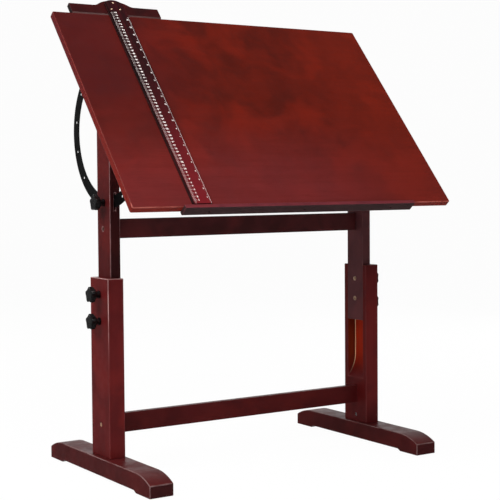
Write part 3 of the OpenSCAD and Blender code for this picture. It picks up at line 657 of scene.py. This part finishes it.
# The camera stands in front and to the left of the table, a little below the middle of its board
CAMERA_PLACE = PIVOT + Vector((-1.6854, -2.6045, -0.1147))
CAMERA_YAW = math.radians(32.91)
CAMERA_PITCH = math.radians(-2.44)
CAMERA_ROLL = math.radians(-0.43)
CAMERA_LENS = 90.61
CAMERA_SHIFT = (0.0163, -0.0331)

# Half the floor's width, and the backdrop's distance, radius, smoothness and height
FLOOR_HALF = 9.0
BACKDROP_Y = 6.0
BACKDROP_R = 3.0
BACKDROP_STEPS = 16
BACKDROP_TOP = 9.0
# Share of the floor's look to the camera that is its own white, and not the light that falls on it
FLOOR_GLOW = 0.97

# Brightness of the studio's walls and of the screen behind the table, and where that screen is
WALL_LIGHT = 0.14
SCREEN_LIGHT = 1.1
SCREEN_DIRECTION = (0.55, 0.85, 0.12)
# Each softbox's distance from the table's middle, the height of that middle, and the softbox's side
SOFTBOX_AWAY = 3.2
TABLE_MIDDLE = Vector((0, 0, 0.6))
SOFTBOX_SIDE = 1.6


def make_floor():
    """A white floor that curves up into a backdrop far behind the table, seen nearly without shadows."""
    material = bpy.data.materials.new("studio_floor")
    n = Nodes(material)
    spot = n.add("TexCoord").outputs["Object"]
    tone = n.mix(n.noise(spot, 3.0), rgb(0.88, 0.88, 0.88), rgb(0.92, 0.92, 0.92))
    matt = n.add("BsdfDiffuse", Color=tone)
    glow = n.add("Emission", Color=rgb(1, 1, 1), Strength=1.0)
    seen = n.math("MULTIPLY", n.add("LightPath").outputs["Is Camera Ray"], FLOOR_GLOW)
    both = n.add("MixShader", Fac=seen)
    n.put(both.inputs[1], matt.outputs[0])
    n.put(both.inputs[2], glow.outputs[0])
    n.put(n.add("OutputMaterial").inputs["Surface"], both.outputs[0])
    turns = [math.pi / 2 * i / BACKDROP_STEPS for i in range(BACKDROP_STEPS + 1)]
    profile = [(-FLOOR_HALF, 0.0)]
    profile += [(BACKDROP_Y + BACKDROP_R * math.sin(a), BACKDROP_R * (1 - math.cos(a))) for a in turns]
    profile.append((BACKDROP_Y + BACKDROP_R, BACKDROP_TOP))
    heading = Matrix.Rotation(-CAMERA_YAW, 4, "Z")
    vertices = [heading @ Vector((x, y, z)) for y, z in profile for x in (-FLOOR_HALF, FLOOR_HALF)]
    faces = [(2 * i, 2 * i + 1, 2 * i + 3, 2 * i + 2) for i in range(len(profile) - 1)]
    mesh = bpy.data.meshes.new("studio_floor")
    mesh.from_pydata(vertices, [], faces)
    mesh.shade_smooth()
    floor = bpy.data.objects.new("studio_floor", mesh)
    bpy.context.scene.collection.objects.link(floor)
    mesh.materials.append(material)
    floor.visible_glossy = False


def make_softbox(name, direction, power, glossy=True):
    """A square softbox that faces the middle of the table from a direction. A fill makes no highlights."""
    position = TABLE_MIDDLE + Vector(direction).normalized() * SOFTBOX_AWAY
    lamp = bpy.data.lights.new(name, "AREA")
    lamp.shape = "SQUARE"
    lamp.size = SOFTBOX_SIDE
    lamp.energy = power
    softbox = bpy.data.objects.new(name, lamp)
    softbox.location = position
    softbox.rotation_euler = (TABLE_MIDDLE - position).to_track_quat("-Z", "Y").to_euler()
    softbox.visible_glossy = glossy
    bpy.context.scene.collection.objects.link(softbox)


def make_world():
    """Dim studio walls with a white screen behind the table on the right. The camera itself sees white."""
    world = bpy.data.worlds.new("studio")
    bpy.context.scene.world = world
    n = Nodes(world)
    toward = n.along(n.add("TexCoord").outputs["Generated"], Vector(SCREEN_DIRECTION).normalized())
    around = n.span(toward, 0.55, 0.97, WALL_LIGHT, SCREEN_LIGHT)
    strength = n.math("ADD", n.add("LightPath").outputs["Is Camera Ray"], around)
    back = n.add("Background", Color=rgb(1, 1, 1), Strength=strength)
    n.put(n.add("OutputWorld").inputs["Surface"], back.outputs[0])


def make_lights():
    make_world()
    make_softbox("front_key", (-0.15, -0.75, 0.65), 60)
    make_softbox("left_key", (-0.70, -0.12, 0.68), 88)
    make_softbox("right_fill", (0.90, 0.30, 0.25), 36, glossy=False)
    make_softbox("back_fill", (-0.30, 0.90, 0.35), 26, glossy=False)


def make_camera():
    forward = Vector((math.sin(CAMERA_YAW) * math.cos(CAMERA_PITCH),
                      math.cos(CAMERA_YAW) * math.cos(CAMERA_PITCH), math.sin(CAMERA_PITCH)))
    level = Vector((math.cos(CAMERA_YAW), -math.sin(CAMERA_YAW), 0))
    rise = level.cross(forward)
    right = level * math.cos(CAMERA_ROLL) + rise * math.sin(CAMERA_ROLL)
    up = rise * math.cos(CAMERA_ROLL) - level * math.sin(CAMERA_ROLL)
    lens = bpy.data.cameras.new("camera")
    lens.lens = CAMERA_LENS
    lens.sensor_width = 36.0
    lens.shift_x, lens.shift_y = CAMERA_SHIFT
    camera = bpy.data.objects.new("camera", lens)
    turned = Matrix((right, up, -forward)).transposed().to_4x4()
    camera.matrix_world = Matrix.Translation(CAMERA_PLACE) @ turned
    bpy.context.scene.collection.objects.link(camera)
    bpy.context.scene.camera = camera


dress_wood()
dress_hardware()
make_scales()
make_floor()
make_lights()
make_camera()
bpy.context.scene.view_settings.view_transform = "Standard"
